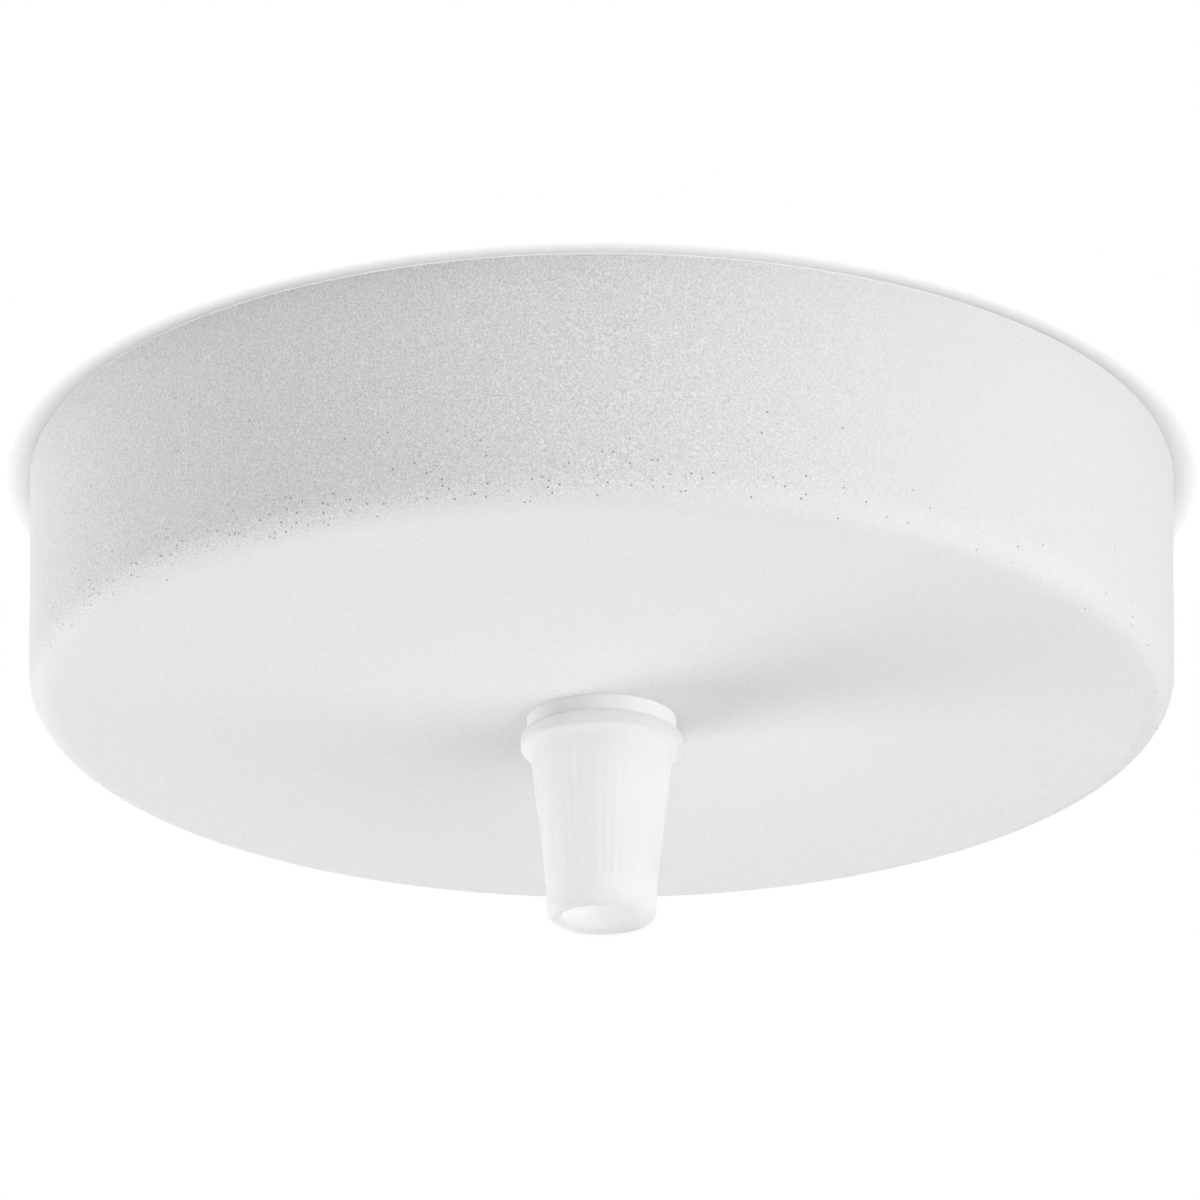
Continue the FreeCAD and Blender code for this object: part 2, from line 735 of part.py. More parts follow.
def terminal_screws():
    head_depth = block_depth - d.terminal_head_sink - d.terminal_head_height
    tip_depth = tube_axis + d.tube_bore / 2 - d.terminal_tip_depth
    sizes = (
        d.terminal_screw_diameter,
        head_depth - tip_depth,
        d.terminal_head_diameter,
        d.terminal_head_height,
    )
    screws = []
    for pole in POLES:
        for side in SIDES:
            screw = slotted_screw("terminal_screw", *sizes)
            across = d.block_offset + d.pole_pitch * pole
            screws.append(put(screw, across, d.turret_spread * side, -(bar_under + head_depth)))
    return group("terminal_screws", screws)


def block_screws():
    length = barrel_depth + d.bar_thickness + d.block_screw_tip
    sizes = (d.block_screw_diameter, length, d.block_head_diameter, d.block_head_height)
    screws = []
    for side in SIDES:
        screw = slotted_screw("block_screw", *sizes)
        across = d.block_offset + d.pole_pitch * side / 2
        screws.append(put(screw, x=across, z=-(bar_under + barrel_depth)))
    return group("block_screws", screws)


def check(pieces):
    for thing in doc.Objects:
        if "Invalid" in thing.State or "Error" in thing.State:
            raise RuntimeError(f"{thing.Label} failed: {thing.State}")
    for piece in pieces:
        if piece.Shape.isNull() or not piece.Shape.isValid():
            raise RuntimeError(f"{piece.Label} has no valid shape")


pieces = [
    crossbar(),
    threaded_nipple(),
    hex_nut("upper_nut", -d.bar_drop),
    toothed_washer(),
    hex_nut("lower_nut", -(bar_under + d.washer_thickness + d.nut_thickness)),
    edge_bush(),
    earth_clamp(),
    earth_lock_washer(),
    earth_screw(),
    terminal_block(),
    *[terminal_tube(pole) for pole in POLES],
    terminal_screws(),
    block_screws(),
    canopy(),
    grip_base(),
    grip_collet(),
    grip_cap(),
]
doc.recompute()
check(pieces)
os.makedirs("parts", exist_ok=True)
for piece in pieces:
    piece.Shape.exportStep(f"parts/{piece.Label}.step")
    box = piece.Shape.BoundBox
    print(f"{piece.Label}: {len(piece.Shape.Solids)} solid, {piece.Shape.Volume:.1f} mm3,"
          f" z {box.ZMin:.2f} to {box.ZMax:.2f}")
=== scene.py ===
import math

import bmesh
import bpy
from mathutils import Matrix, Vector


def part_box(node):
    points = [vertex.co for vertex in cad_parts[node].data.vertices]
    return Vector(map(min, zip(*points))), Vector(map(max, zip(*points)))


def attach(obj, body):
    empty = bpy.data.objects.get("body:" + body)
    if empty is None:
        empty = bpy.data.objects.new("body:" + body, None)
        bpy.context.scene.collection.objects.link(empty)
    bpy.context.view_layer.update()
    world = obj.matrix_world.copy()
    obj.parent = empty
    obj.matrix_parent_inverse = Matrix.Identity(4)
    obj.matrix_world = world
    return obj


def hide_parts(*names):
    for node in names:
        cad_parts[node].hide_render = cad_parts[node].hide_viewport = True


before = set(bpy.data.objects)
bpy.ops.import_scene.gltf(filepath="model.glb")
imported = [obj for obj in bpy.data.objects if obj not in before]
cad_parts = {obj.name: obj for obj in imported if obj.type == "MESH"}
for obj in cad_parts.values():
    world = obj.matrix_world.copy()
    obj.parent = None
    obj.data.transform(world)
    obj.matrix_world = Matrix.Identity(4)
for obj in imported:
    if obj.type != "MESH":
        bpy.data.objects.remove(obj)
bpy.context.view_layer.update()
scene = bpy.context.scene
mm = 0.001  # pieces are shaped in millimetres and brought to metres at the end
up = Vector((0, 0, 1))
edges = {"flatWithin": 1, "easeFrom": 32, "sharpFrom": 38}  # degrees between faces


def level(node, end):
    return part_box(node)[end].z / mm  # 0 is the node's underside, 1 its top


def reach(node):
    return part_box(node)[1].x / mm  # outer radius of a piece that stands on the axis


def polyline(bm, points):
    verts = [bm.verts.new((r, 0, z)) for r, z in points]
    return verts, [bm.edges.new(pair) for pair in zip(verts, verts[1:])]


def spinRound(bm, steps):
    bmesh.ops.spin(bm, geom=bm.verts[:] + bm.edges[:], cent=(0, 0, 0), axis=up,
                   angle=math.tau, steps=steps, use_merge=True)
    bmesh.ops.remove_doubles(bm, verts=bm.verts, dist=1e-4)


def closedOutline(bm, points, rounds):
    corners = [bm.verts.new((r, 0, z)) for r, z in points]
    bm.faces.new(corners)
    for spot, size, segments in rounds:
        bmesh.ops.bevel(bm, geom=[corners[spot]], offset=size, offset_type="OFFSET", segments=segments,
                        profile=0.5, affect="VERTICES", material=-1)
    bmesh.ops.delete(bm, geom=bm.faces[:], context="FACES_ONLY")


def screwSkin(bm, thread, low, high):
    root, crest, pitch = thread["radius"] - thread["depth"], thread["radius"], thread["pitch"]
    flat = pitch * thread["crestShare"] / 2
    start = low - pitch
    turns = math.ceil((high - start) / pitch) + 1
    profile = [(root, start), (crest, start + pitch / 2 - flat), (crest, start + pitch / 2 + flat),
               (root, start + pitch)]
    verts, lines = polyline(bm, profile)
    bmesh.ops.spin(bm, geom=verts + lines, cent=(0, 0, 0), axis=up, angle=math.tau * turns,
                   steps=thread["steps"] * turns, dvec=up * pitch / thread["steps"])
    bmesh.ops.remove_doubles(bm, verts=bm.verts, dist=1e-3)
    for height, facing in ((high, up), (low, -up)):  # square the ends
        bmesh.ops.bisect_plane(bm, geom=bm.verts[:] + bm.edges[:] + bm.faces[:], dist=1e-4,
                               plane_co=up * height, plane_no=facing, clear_outer=True)
    for vert in bm.verts:  # lead-in bevels
        spread = Vector(vert.co[:2]).length
        ends = {"low": vert.co.z - low, "high": high - vert.co.z}
        most = crest - thread["bevel"] + min(ends[end] for end in thread["leadIn"])
        if spread > most:
            vert.co.x *= most / spread
            vert.co.y *= most / spread


def openRing(bm, height):
    return [edge for edge in bm.edges if edge.is_boundary and all(abs(v.co.z - height) < 1e-3 for v in edge.verts)]


def cadCopy(node):
    bm = bmesh.new()
    bm.from_mesh(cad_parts[node].data)
    bmesh.ops.scale(bm, vec=(1 / mm,) * 3, verts=bm.verts)
    bmesh.ops.remove_doubles(bm, verts=bm.verts, dist=1e-4)
    return bm


def easeEdges(bm, width):
    bmesh.ops.dissolve_limit(bm, angle_limit=math.radians(edges["flatWithin"]), verts=bm.verts, edges=bm.edges)
    sharp = [e for e in bm.edges if e.is_manifold and e.calc_face_angle() > math.radians(edges["easeFrom"])]
    bmesh.ops.bevel(bm, geom=sharp, offset=width, offset_type="OFFSET", segments=2, profile=0.5,
                    affect="EDGES", clamp_overlap=True, material=-1)
    return bm


def finishPiece(bm, name, body, slot, material, *nodes):
    bmesh.ops.scale(bm, vec=(mm,) * 3, verts=bm.verts)
    bmesh.ops.recalc_face_normals(bm, faces=bm.faces)
    mesh = bpy.data.meshes.new(name)
    bm.to_mesh(mesh)
    bm.free()
    mesh.shade_smooth()
    mesh.set_sharp_from_angle(angle=math.radians(edges["sharpFrom"]))
    mesh.materials.append(material)
    piece = bpy.data.objects.new(name, mesh)
    scene.collection.objects.link(piece)
    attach(piece, body)
    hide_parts(*nodes)
    print("piece", name, len(mesh.polygons), "faces")
    return piece


def evenFlats(piece):  # flats keep their own direction beside eased edges
    piece.modifiers.new("evenFlats", "WEIGHTED_NORMAL").keep_sharp = True


def newFinish(name, **values):
    material = bpy.data.materials.new(name)
    material.use_nodes = True
    shader = material.node_tree.nodes["Principled BSDF"]
    for socket, value in values.items():
        shader.inputs[socket].default_value = value
    return material, material.node_tree, shader


def addNode(tree, kind, inputs=None, **settings):
    made = tree.nodes.new(kind)
    for name, value in settings.items():
        setattr(made, name, value)
    for socket, value in (inputs or {}).items():
        if isinstance(value, bpy.types.NodeSocket):
            tree.links.new(value, made.inputs[socket])
        else:
            made.inputs[socket].default_value = value
    return made


def noiseOf(tree, where, scale, detail=2.0, roughness=0.5):
    return addNode(tree, "ShaderNodeTexNoise", {"Vector": where, "Scale": scale, "Detail": detail,
                                                "Roughness": roughness}).outputs["Fac"]


def span(tree, value, fromLow, fromHigh, toLow, toHigh):
    return addNode(tree, "ShaderNodeMapRange", {"Value": value, "From Min": fromLow, "From Max": fromHigh,
                                                "To Min": toLow, "To Max": toHigh}).outputs["Result"]


def combine(tree, operation, first, second):
    return addNode(tree, "ShaderNodeMath", {0: first, 1: second}, operation=operation).outputs[0]


def tinted(tree, factor, first, second):
    mixed = addNode(tree, "ShaderNodeMix", {"Factor": factor, "A": first, "B": second}, data_type="RGBA")
    return mixed.outputs["Result"]


def bumped(tree, shader, height, strength, distance):
    bump = addNode(tree, "ShaderNodeBump", {"Height": height, "Strength": strength, "Distance": distance})
    tree.links.new(bump.outputs["Normal"], shader.inputs["Normal"])


def objectPoint(tree, scale=None):
    point = addNode(tree, "ShaderNodeTexCoord").outputs["Object"]
    if scale is None:
        return point
    return addNode(tree, "ShaderNodeMapping", {"Vector": point, "Scale": scale}).outputs["Vector"]


# the hollow and pit tones are painted shade, in the grain's low spots and inside the pinholes
powderLook = {
    "crest": (0.98, 0.98, 0.98, 1), "hollow": (0.62, 0.62, 0.62, 1), "pitHoleShade": (0.32, 0.32, 0.32, 1),
    "grainScale": 5200, "swellScale": 1100, "grainDepth": 0.00006, "pitScale": 1900, "pitSize": 0.24,
    "pitFrom": -0.0246, "pitUpTo": -0.0205, "pitShare": 0.62, "strayUpTo": -0.009, "strayShare": 0.035,
    "pitEnd": 0.0008, "pitRest": 0.1, "pitCore": 0.55, "grazeShadeSide": (-0.5, -0.87, 0), "grazeShadeFrom": 0.48,
    "grazeShadeTo": 0.85, "ungrazedShadeGain": 0.42, "grazeShadeGain": 1.65, "smoothest": 0.56, "roughest": 0.68, "gloss": 0.12,
    "swellShare": 0.5, "relief": 0.8,
}


def makePowderCoat():
    look = powderLook
    material, tree, shader = newFinish("powderCoat", **{"Specular IOR Level": look["gloss"]})
    point = objectPoint(tree)
    grain = noiseOf(tree, point, look["grainScale"], 1.0, 0.4)
    swell = noiseOf(tree, point, look["swellScale"], 1.5)
    cells = addNode(tree, "ShaderNodeTexVoronoi", {"Vector": point, "Scale": look["pitScale"]})
    height = addNode(tree, "ShaderNodeSeparateXYZ", {"Vector": point}).outputs["Z"]
    band = span(tree, height, look["pitUpTo"], look["pitFrom"], 0, look["pitShare"])
    band = combine(tree, "ADD", band, span(tree, height, look["strayUpTo"], look["pitUpTo"], 0, look["strayShare"]))
    band = combine(tree, "MULTIPLY", band, span(tree, height, look["pitFrom"] - look["pitEnd"], look["pitFrom"], 0, 1))
    # painted shade: grain contrast and pit count are raised on the wall facing the left front, where the light grazes
    facing = addNode(tree, "ShaderNodeNewGeometry").outputs["Normal"]
    toward = addNode(tree, "ShaderNodeVectorMath", {0: facing, 1: look["grazeShadeSide"]}, operation="DOT_PRODUCT")
    grazeShade = span(tree, toward.outputs["Value"], look["grazeShadeFrom"], look["grazeShadeTo"], 0, 1)
    band = combine(tree, "MULTIPLY", band, span(tree, grazeShade, 0, 1, look["pitRest"], 1))
    chance = addNode(tree, "ShaderNodeSeparateColor", {"Color": cells.outputs["Color"]}).outputs["Red"]
    chosen = combine(tree, "LESS_THAN", chance, band)
    dimple = span(tree, cells.outputs["Distance"], look["pitSize"], look["pitSize"] * look["pitCore"], 0, 1)
    pits = combine(tree, "MULTIPLY", chosen, dimple)
    gain = span(tree, grazeShade, 0, 1, look["ungrazedShadeGain"], look["grazeShadeGain"])
    # painted shade: the grain's low spots, which are also the bump's hollows, are tinted towards the hollow tone
    grainToneAndShade = combine(tree, "MULTIPLY", combine(tree, "SUBTRACT", grain, 0.5), gain)
    paint = tinted(tree, combine(tree, "ADD", grainToneAndShade, 0.5), look["hollow"], look["crest"])
    # painted shade: the pinholes are tinted dark inside
    colour = tinted(tree, pits, paint, look["pitHoleShade"])
    tree.links.new(colour, shader.inputs["Base Color"])
    rough = span(tree, swell, 0.3, 0.7, look["smoothest"], look["roughest"])
    tree.links.new(rough, shader.inputs["Roughness"])
    relief = combine(tree, "ADD", grain, combine(tree, "MULTIPLY", swell, look["swellShare"]))
    bumped(tree, shader, combine(tree, "SUBTRACT", relief, pits), look["relief"], look["grainDepth"])
    return material


nylonLook = {
    "pale": (0.99, 0.99, 0.99, 1), "dull": (0.97, 0.97, 0.97, 1), "mottleScale": 260, "grainScale": 2400,
    "grainDepth": 0.000008, "glow": 0.1, "glowReach": 0.0008, "gloss": 0.2, "smoothest": 0.46, "roughest": 0.6,
    "relief": 0.5,
}


def makeNylon(name, look):
    material, tree, shader = newFinish(name, **{
        "Subsurface Weight": look["glow"], "Subsurface Scale": look["glowReach"],
        "Subsurface Radius": (1.0, 1.0, 1.0), "Specular IOR Level": look["gloss"],
    })
    shader.subsurface_method = "BURLEY"
    point = objectPoint(tree)
    mottle = noiseOf(tree, point, look["mottleScale"], 2.0)
    grain = noiseOf(tree, point, look["grainScale"], 2.0)
    plastic = tinted(tree, span(tree, mottle, 0.35, 0.65, 0, 1), look["pale"], look["dull"])
    if "thinEndShade" in look:  # painted shade: the cone is tinted darker down to its narrow end, where light soaks through, and darker inside its bore
        height = addNode(tree, "ShaderNodeSeparateXYZ", {"Vector": point}).outputs["Z"]
        flat = addNode(tree, "ShaderNodeVectorMath", {0: point, 1: (1, 1, 0)}, operation="MULTIPLY").outputs["Vector"]
        spread = addNode(tree, "ShaderNodeVectorMath", {0: flat}, operation="LENGTH").outputs["Value"]
        within = span(tree, height, look["boreTop"], look["seatFrom"], look["boreRadius"], look["seatRadius"])
        inside = combine(tree, "LESS_THAN", spread, within)
        plastic = tinted(tree, span(tree, height, look["thickTo"], look["bodyFrom"], 0, 1), plastic, look["body"])
        plastic = tinted(tree, span(tree, height, look["bodyFrom"], look["thinFrom"], 0, 1), plastic, look["thinEndShade"])
        plastic = tinted(tree, inside, plastic, look["bore"])
    tree.links.new(plastic, shader.inputs["Base Color"])
    rough = span(tree, grain, 0.3, 0.7, look["smoothest"], look["roughest"])
    tree.links.new(rough, shader.inputs["Roughness"])
    bumped(tree, shader, grain, look["relief"], look["grainDepth"])
    return material


# painted shade: the body, thin-end and bore tones darken the cone towards its tip and inside its bore
capLook = dict(nylonLook, body=(0.86, 0.86, 0.86, 1), thinEndShade=(0.77, 0.77, 0.77, 1), bore=(0.70, 0.70, 0.70, 1),
               boreRadius=0.0046, boreTop=-0.0465, seatRadius=0.0055, seatFrom=-0.0445, thickTo=-0.028,
               bodyFrom=-0.0298, thinFrom=-0.044, glow=0.96, glowReach=0.032)
blockLook = dict(nylonLook, pale=(0.80, 0.78, 0.70, 1), dull=(0.74, 0.715, 0.63, 1), gloss=0.4)
bushLook = dict(blockLook, pale=(0.78, 0.78, 0.76, 1), dull=(0.72, 0.72, 0.70, 1))
zincLook = {
    "bright": (0.70, 0.72, 0.74, 1), "straw": (0.66, 0.64, 0.58, 1), "lineScale": (240, 4200, 4200),
    "cloudScale": 110, "grainScale": 1500, "lineDepth": 0.000006, "wear": 0.16, "smoothest": 0.22, "roughest": 0.36,
    "grainShare": 0.4, "relief": 0.6,
}
brassLook = dict(zincLook, bright=(0.82, 0.62, 0.30, 1), brown=(0.56, 0.38, 0.17, 1), lineScale=(900, 5200, 900),
                 cloudScale=230, grainScale=1700)


def makeMetal(name, look, brightName, dullName):
    material, tree, shader = newFinish(name, **{"Metallic": 1.0})
    lines = noiseOf(tree, objectPoint(tree, look["lineScale"]), 1.0, 2.0)
    point = objectPoint(tree)
    cloud = noiseOf(tree, point, look["cloudScale"], 3.0)
    grain = noiseOf(tree, point, look["grainScale"], 2.0)
    tree.links.new(tinted(tree, span(tree, cloud, 0.42, 0.72, 0, 1), look[brightName], look[dullName]),
                   shader.inputs["Base Color"])
    worn = combine(tree, "MULTIPLY", lines, look["wear"])
    rough = span(tree, cloud, 0.3, 0.7, look["smoothest"], look["roughest"])
    tree.links.new(combine(tree, "ADD", worn, rough), shader.inputs["Roughness"])
    relief = combine(tree, "ADD", lines, combine(tree, "MULTIPLY", grain, look["grainShare"]))
    bumped(tree, shader, relief, look["relief"], look["lineDepth"])
    return material


powderCoat = makePowderCoat()
gripNylon = makeNylon("gripNylon", nylonLook)
capNylon = makeNylon("capNylon", capLook)
blockNylon = makeNylon("blockNylon", blockLook)
bushPlastic = makeNylon("bushPlastic", bushLook)
zincSteel = makeMetal("zincSteel", zincLook, "bright", "straw")
brass = makeMetal("brass", brassLook, "bright", "brown")
print("finishes made")


cup = {"wall": 1.0, "draft": 0.75, "bend": 3.5, "hole": 5.25, "rim": 0.25, "holeEdge": 0.15, "steps": 256}


def makeCanopy():
    radius, floor = reach("canopy"), level("canopy", 0)
    foot, inner, inside = radius - cup["draft"], radius - cup["wall"], floor + cup["wall"]
    bm = bmesh.new()
    closedOutline(bm, [(radius, 0), (foot, floor), (cup["hole"], floor), (cup["hole"], inside),
                       (foot - cup["wall"], inside), (inner, 0)],
                  [(0, cup["rim"], 2), (1, cup["bend"], 12), (2, cup["holeEdge"], 2), (3, cup["holeEdge"], 2),
                   (4, cup["bend"] - cup["wall"], 8), (5, cup["rim"], 2)])
    spinRound(bm, cup["steps"])
    return finishPiece(bm, "canopy_cup", "canopy", "powder_coat", powderCoat, "canopy")


cone = {"bore": 5.67, "top": 7.35, "end": 5.64, "tip": 3.0, "ring": 2.2, "bevel": 0.75, "mouth": 4.1,
        "mouthLength": 2.4, "seat": 5.41, "seatTop": 10.5, "seatEnd": 4.6, "endRound": 0.9, "mouthRound": 0.6,
        "ringRound": 0.4, "shoulderRound": 0.2, "neckRound": 0.2, "tipRound": 0.5, "ribs": 42, "ribDepth": 0.05,
        "raise": 0.05, "ribFade": 0.3, "ribReach": 0.1, "stepsPerRib": 8, "rows": 30, "bevelRows": 6}


def makeGripCone():
    top, end, ringRadius = level("grip_cap", 1), level("grip_cap", 0), reach("grip_cap")
    under, seat = top - cone["ring"], top - cone["seatTop"]
    throat, tip, shoulder = end + cone["mouthLength"], end + cone["tip"], under + cone["bevel"]
    crown = top + cone["raise"]
    bm = bmesh.new()
    points = [(cone["bore"], crown), (ringRadius, crown), (ringRadius, shoulder), (cone["top"], under),
              (cone["end"], tip), (cone["end"], end), (cone["mouth"], end), (cone["mouth"], throat),
              (cone["seatEnd"], throat), (cone["seat"], seat), (cone["bore"], seat)]
    closedOutline(bm, points, [(1, cone["ringRound"], 5), (2, cone["shoulderRound"], 3), (3, cone["neckRound"], 3),
                               (4, cone["tipRound"], 3), (5, cone["endRound"], 8), (6, cone["mouthRound"], 5)])
    flanks = [edge for edge in bm.edges if all(tip < v.co.z < shoulder and v.co.x > cone["end"] for v in edge.verts)]
    flanks.sort(key=lambda edge: edge.calc_length())
    bmesh.ops.subdivide_edges(bm, edges=flanks[-1:], cuts=cone["rows"])
    bmesh.ops.subdivide_edges(bm, edges=flanks[-2:-1], cuts=cone["bevelRows"])
    spinRound(bm, cone["ribs"] * cone["stepsPerRib"])
    slope = (cone["top"] - cone["end"]) / (under - tip)
    for vert in bm.verts:  # ribs run from the ring's lower edge to the smooth tip
        spread = Vector(vert.co[:2]).length
        if tip < vert.co.z < shoulder and spread > cone["end"] + slope * (vert.co.z - tip) - cone["ribReach"]:
            turn = math.atan2(vert.co.y, vert.co.x) * cone["ribs"]
            fade = min(1, (shoulder - vert.co.z) / cone["ribFade"], (vert.co.z - tip) / cone["ribFade"])
            share = 1 - cone["ribDepth"] * fade * (0.5 - 0.5 * math.cos(turn)) / spread
            vert.co.x *= share
            vert.co.y *= share
    return finishPiece(bm, "grip_cone", "grip_cap", "grip_nylon", capNylon, "grip_cap")


baseThread = {"radius": 5.61, "depth": 0.52, "pitch": 1.25, "crestShare": 0.2, "steps": 64, "bevel": 0.5,
              "leadIn": ["low"]}
base = {"flange": 1.7, "socket": 5.01, "socketDepth": 9.8, "bore": 3.8, "round": 0.35}


def makeGripBase():
    top, end, edge = level("grip_base", 1), level("grip_base", 0), reach("grip_base")
    under, ledge = top - base["flange"], top - base["socketDepth"]
    bm = bmesh.new()
    root = baseThread["radius"] - baseThread["depth"]
    corners, _ = polyline(bm, [(root, under), (edge, under), (edge, top), (base["socket"], top),
                               (base["socket"], ledge), (base["bore"], ledge), (base["bore"], end)])
    bmesh.ops.bevel(bm, geom=[corners[1]], offset=base["round"], offset_type="OFFSET", segments=5, profile=0.5,
                    affect="VERTICES", material=-1)
    spinRound(bm, baseThread["steps"])
    shank = bmesh.new()
    screwSkin(shank, baseThread, end, under)
    spare = bpy.data.meshes.new("spare")
    shank.to_mesh(spare)
    shank.free()
    bm.from_mesh(spare)
    bpy.data.meshes.remove(spare)
    for height in (under, end):
        bmesh.ops.bridge_loops(bm, edges=openRing(bm, height))
    bmesh.ops.remove_doubles(bm, verts=bm.verts, dist=1e-4)
    return finishPiece(bm, "grip_base_threaded", "grip_base", "grip_nylon", gripNylon, "grip_base")


nippleThread = {"radius": 4.95, "depth": 0.54, "pitch": 1.0, "crestShare": 0.22, "steps": 56, "bevel": 0.6,
                "leadIn": ["low", "high"]}
nipple = {"bore": 3.8}


def makeNipple():
    low, high = level("threaded_nipple", 0), level("threaded_nipple", 1)
    bm = bmesh.new()
    screwSkin(bm, nippleThread, low, high)
    ring = bmesh.ops.create_circle(bm, segments=nippleThread["steps"], radius=nipple["bore"])["verts"]
    bmesh.ops.translate(bm, vec=up * low, verts=ring)
    lowEdges = list({e for v in ring for e in v.link_edges})
    tall = bmesh.ops.extrude_edge_only(bm, edges=lowEdges)["geom"]
    bmesh.ops.translate(bm, vec=up * (high - low), verts=[g for g in tall if isinstance(g, bmesh.types.BMVert)])
    for height in (low, high):
        bmesh.ops.bridge_loops(bm, edges=openRing(bm, height))
    return finishPiece(bm, "hollow_nipple", "mounting", "zinc_steel", zincSteel, "threaded_nipple")


bush = {"bore": 3.1, "spigot": 3.75, "lip": 0.8, "lipRound": 0.38, "boreRound": 0.5, "underRound": 0.15,
        "footRound": 0.2, "footBoreRound": 0.1, "steps": 72}


def makeBush():
    low, high, lip = level("edge_bush", 0), level("edge_bush", 1), reach("edge_bush")
    shoulder = high - bush["lip"]
    bm = bmesh.new()
    closedOutline(bm, [(bush["bore"], high), (lip, high), (lip, shoulder), (bush["spigot"], shoulder),
                       (bush["spigot"], low), (bush["bore"], low)],
                  [(0, bush["boreRound"], 5), (1, bush["lipRound"], 4), (2, bush["underRound"], 2),
                   (4, bush["footRound"], 2), (5, bush["footBoreRound"], 2)])
    spinRound(bm, bush["steps"])
    return finishPiece(bm, "nipple_bush", "mounting", "bush_plastic", bushPlastic, "edge_bush")


makeCanopy()
makeGripCone()
makeGripBase()
makeNipple()
makeBush()
collet = {"ease": 0.12}
evenFlats(finishPiece(easeEdges(cadCopy("grip_collet"), collet["ease"]), "split_collet", "grip_collet", "grip_nylon",
                      gripNylon, "grip_collet"))


screws = {  # places along and across the bar, levels and sizes in millimetres
    "earth_screw": {"places": [(-22, 0)], "radius": 1.95, "bearing": -13.3, "tip": -7.4, "depth": 0.36, "pitch": 0.7},
    "block_screws": {"places": [(18.5, 0), (27.5, 0)], "radius": 1.45, "bearing": -16.85, "tip": -8.0, "depth": 0.36,
                     "pitch": 0.9},
    "terminal_screws": {"places": [(23 + 9 * pole, 4.25 * side) for pole in (-1, 0, 1) for side in (-1, 1)],
                        "radius": 1.4, "bearing": -17.25, "tip": -14.6, "depth": 0.28, "pitch": 0.5},
}
screwThread = {"crestShare": 0.15, "steps": 28, "bevel": 0.35, "leadIn": ["high"]}
screwHead = {"ease": 0.14, "sunk": 0.05}


def makeScrews(node, screw):
    bm = cadCopy(node)
    shank = [face for face in bm.faces if face.calc_center_median().z > screw["bearing"] + 0.01]
    bmesh.ops.delete(bm, geom=shank, context="FACES")
    bmesh.ops.holes_fill(bm, edges=[edge for edge in bm.edges if edge.is_boundary])
    easeEdges(bm, screwHead["ease"])
    turned = bmesh.new()
    screwSkin(turned, dict(screwThread, **screw), screw["bearing"] - screwHead["sunk"], screw["tip"])
    bmesh.ops.holes_fill(turned, edges=[edge for edge in turned.edges if edge.is_boundary])
    spare = bpy.data.meshes.new("spare")
    turned.to_mesh(spare)
    turned.free()
    for x, y in screw["places"]:
        known = set(bm.verts)
        bm.from_mesh(spare)
        bmesh.ops.translate(bm, vec=(x, y, 0), verts=[vert for vert in bm.verts if vert not in known])
    bpy.data.meshes.remove(spare)
    evenFlats(finishPiece(bm, node + "_threaded", "mounting", "zinc_steel", zincSteel, node))


easedSteel = {"crossbar": 0.22, "upper_nut": 0.15, "lower_nut": 0.15, "toothed_washer": 0.1, "earth_clamp": 0.15,
              "earth_lock_washer": 0.12}
for node, width in easedSteel.items():
    evenFlats(finishPiece(easeEdges(cadCopy(node), width), node + "_eased", "mounting", "zinc_steel", zincSteel, node))
block = {"ease": 0.2}
evenFlats(finishPiece(easeEdges(cadCopy("terminal_block"), block["ease"]), "terminal_block_moulded", "mounting",
                      "block_nylon", blockNylon, "terminal_block"))
tubes = {"nodes": ("terminal_tube_1", "terminal_tube_2", "terminal_tube_3"), "ease": 0.12}
for tube in tubes["nodes"]:
    evenFlats(finishPiece(easeEdges(cadCopy(tube), tubes["ease"]), tube + "_turned", "mounting", "brass", brass, tube))
for node, screw in screws.items():
    makeScrews(node, screw)
print("crossbar and terminals dressed")


stage = {"ceilingRadius": 0.9, "contactRadius": 0.072, "holeInset": 0.0001, "lift": 0.00002, "contactReach": 0.0048,
         "white": (0.94, 0.94, 0.94, 1), "contactShade": (0.62, 0.62, 0.62, 1), "contactGlow": 0.4,
         "contactFull": 0.5, "contactSamples": 2, "steps": 128}


def seenDirectly(tree):
    light = addNode(tree, "ShaderNodeLightPath")
    first = combine(tree, "MAXIMUM", light.outputs["Is Camera Ray"], light.outputs["Is Glossy Ray"])
    return combine(tree, "MAXIMUM", first, light.outputs["Is Transmission Ray"])


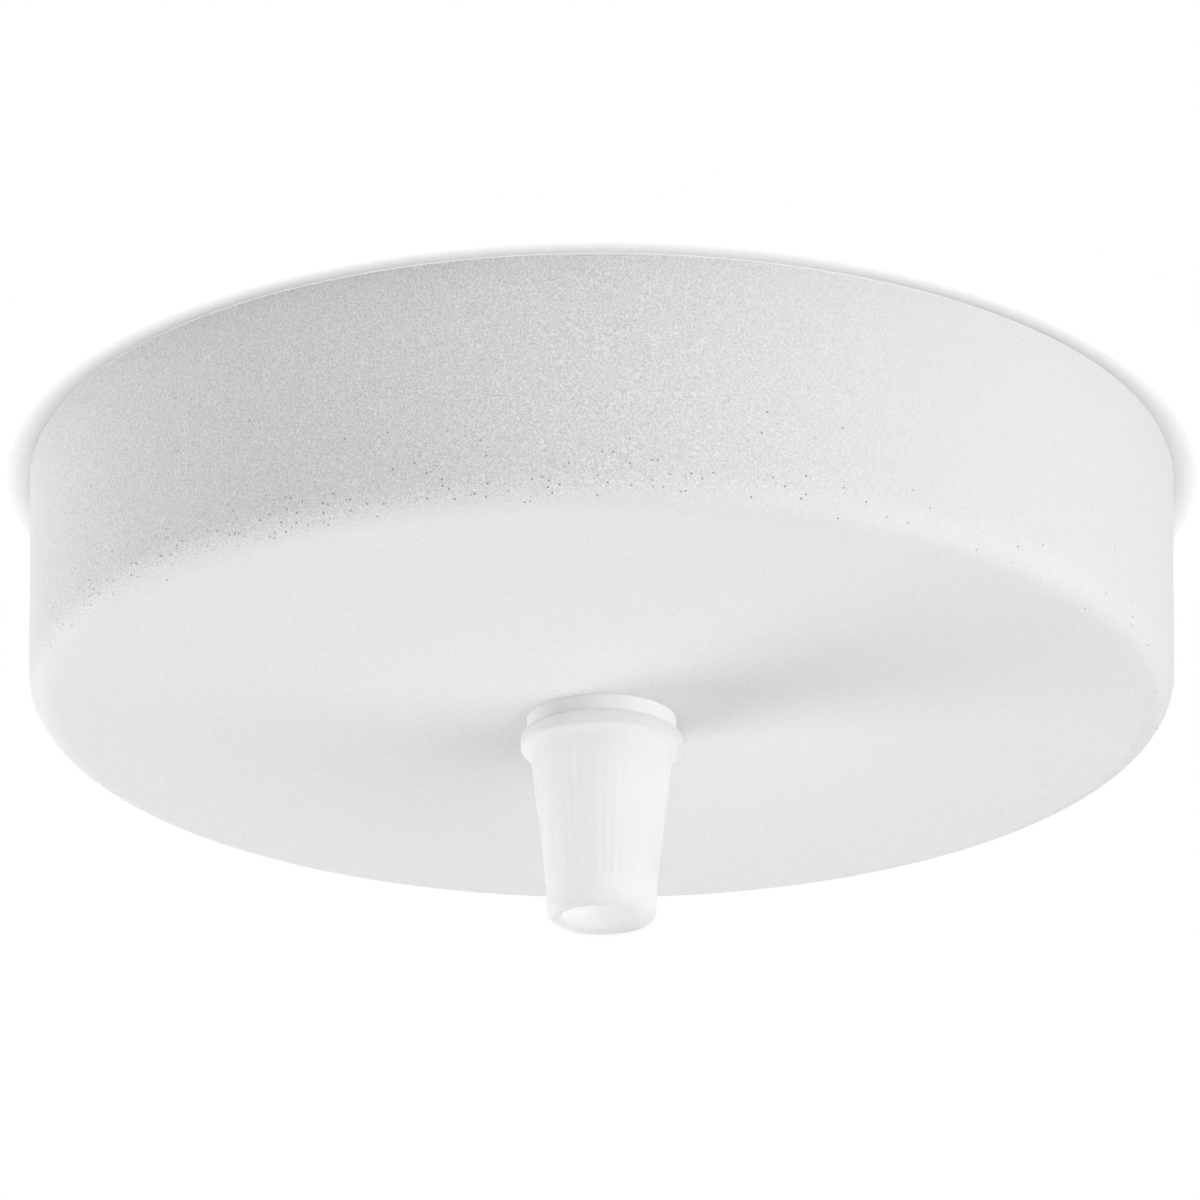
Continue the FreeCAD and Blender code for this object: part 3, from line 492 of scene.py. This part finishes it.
def paleSheet(name, touches):
    material = bpy.data.materials.new(name)
    material.use_nodes = True
    tree = material.node_tree
    tree.nodes.clear()
    if touches:  # painted contact shadow from an occlusion test, darkest where the rim meets it
        nearby = addNode(tree, "ShaderNodeAmbientOcclusion", {"Distance": stage["contactReach"]},
                         samples=stage["contactSamples"])
        seen = seenDirectly(tree)
        clearance = span(tree, nearby.outputs["AO"], stage["contactFull"], 1, 0, 1)
        white = tinted(tree, combine(tree, "MAXIMUM", clearance, combine(tree, "SUBTRACT", 1.0, seen)),
                       stage["contactShade"], stage["white"])
        strength = combine(tree, "MULTIPLY", seen, span(tree, clearance, 0, 1, 0, stage["contactGlow"]))
        matt = addNode(tree, "ShaderNodeBsdfDiffuse", {"Color": white}).outputs[0]
        glowing = addNode(tree, "ShaderNodeEmission", {"Strength": strength}).outputs[0]
        sheet = addNode(tree, "ShaderNodeAddShader", {0: matt, 1: glowing}).outputs[0]
    else:
        matt = addNode(tree, "ShaderNodeBsdfDiffuse", {"Color": stage["white"]}).outputs[0]
        glowing = addNode(tree, "ShaderNodeEmission", {"Strength": 1.0}).outputs[0]
        sheet = addNode(tree, "ShaderNodeMixShader", {0: seenDirectly(tree), 1: matt, 2: glowing}).outputs[0]
    behind = addNode(tree, "ShaderNodeNewGeometry").outputs["Backfacing"]  # looked at from above, it isn't there
    clear = addNode(tree, "ShaderNodeBsdfTransparent").outputs[0]
    sheet = addNode(tree, "ShaderNodeMixShader", {0: behind, 1: sheet, 2: clear}).outputs[0]
    addNode(tree, "ShaderNodeOutputMaterial", {"Surface": sheet})
    return material


def makeCeiling(name, innerRadius, outerRadius, touches):
    bm = bmesh.new()
    inner = bmesh.ops.create_circle(bm, segments=stage["steps"], radius=innerRadius)["verts"]
    outer = bmesh.ops.create_circle(bm, segments=stage["steps"], radius=outerRadius)["verts"]
    bmesh.ops.bridge_loops(bm, edges=list({e for v in inner + outer for e in v.link_edges}))
    bmesh.ops.translate(bm, vec=up * stage["lift"], verts=bm.verts)
    for face in bm.faces:
        face.normal_update()
        if face.normal.z > 0:
            face.normal_flip()
    addStage(bm, name, paleSheet(name + "Paint", touches))


def addStage(bm, name, material):
    mesh = bpy.data.meshes.new(name)
    bm.to_mesh(mesh)
    bm.free()
    mesh.materials.append(material)
    sheet = bpy.data.objects.new(name, mesh)
    scene.collection.objects.link(sheet)


lamps = {  # azimuth from the camera's side towards +X and drop below the ceiling in degrees
    "rightFront": {"azimuth": 55, "drop": 22, "distance": 1.2, "width": 2.4, "height": 0.8, "watts": 10.85},
    "left": {"azimuth": -110, "drop": 18, "distance": 1.2, "width": 0.6, "height": 0.45, "watts": 4.3},
    "leftBack": {"azimuth": -130, "drop": 18, "distance": 1.2, "width": 0.6, "height": 0.45, "watts": 4.4},
    "below": {"azimuth": 0, "drop": 85, "distance": 1.2, "width": 2.0, "height": 2.0, "watts": 13.9},
    "overhead": {"azimuth": 0, "drop": -90, "distance": 0.7, "width": 0.5, "height": 0.5, "watts": 4.0,
                 "mirrored": False},  # it only fills the inside, so metal doesn't mirror it
}


def makeLamp(name, lamp):
    data = bpy.data.lights.new(name, "AREA")
    data.shape = "ELLIPSE"
    data.size, data.size_y = lamp["width"], lamp["height"]
    data.energy = lamp["watts"]
    turn, drop = math.radians(lamp["azimuth"]), math.radians(lamp["drop"])
    toward = Vector((math.sin(turn) * math.cos(drop), -math.cos(turn) * math.cos(drop), -math.sin(drop)))
    light = bpy.data.objects.new(name, data)
    light.location = toward * lamp["distance"]
    light.rotation_euler = toward.to_track_quat("Z", "Y").to_euler()
    light.visible_camera = False
    light.visible_glossy = lamp.get("mirrored", True)
    scene.collection.objects.link(light)


ambient = 0.02


def makeWorld():
    world = bpy.data.worlds.new("surroundings")
    world.use_nodes = True
    tree = world.node_tree
    tree.nodes.clear()
    strength = span(tree, seenDirectly(tree), 0, 1, ambient, 1)
    sky = addNode(tree, "ShaderNodeBackground", {"Color": (1, 1, 1, 1), "Strength": strength}).outputs[0]
    addNode(tree, "ShaderNodeOutputWorld", {"Surface": sky})
    scene.world = world


view = {"distance": 0.6456, "below": 0.39755, "tilt": 0.38024, "focalPixels": 6128.1, "framePixels": 1200,
        "aside": -0.00017, "sensor": 36.0}


def makeCamera():
    data = bpy.data.cameras.new("camera")
    data.sensor_width = view["sensor"]
    data.lens = view["focalPixels"] / view["framePixels"] * view["sensor"]
    camera = bpy.data.objects.new("camera", data)
    camera.location = (view["aside"], -view["distance"] * math.cos(view["below"]),
                       -view["distance"] * math.sin(view["below"]))
    camera.rotation_euler = (math.pi / 2 + view["tilt"], 0, 0)
    scene.collection.objects.link(camera)
    scene.camera = camera


makeCeiling("ceilingRing", reach("canopy") * mm - stage["holeInset"], stage["contactRadius"], True)
makeCeiling("ceiling", stage["contactRadius"], stage["ceilingRadius"], False)
for name, lamp in lamps.items():
    makeLamp(name, lamp)
makeWorld()
makeCamera()
scene.view_settings.view_transform = "Standard"
print("stage, lights and camera set")
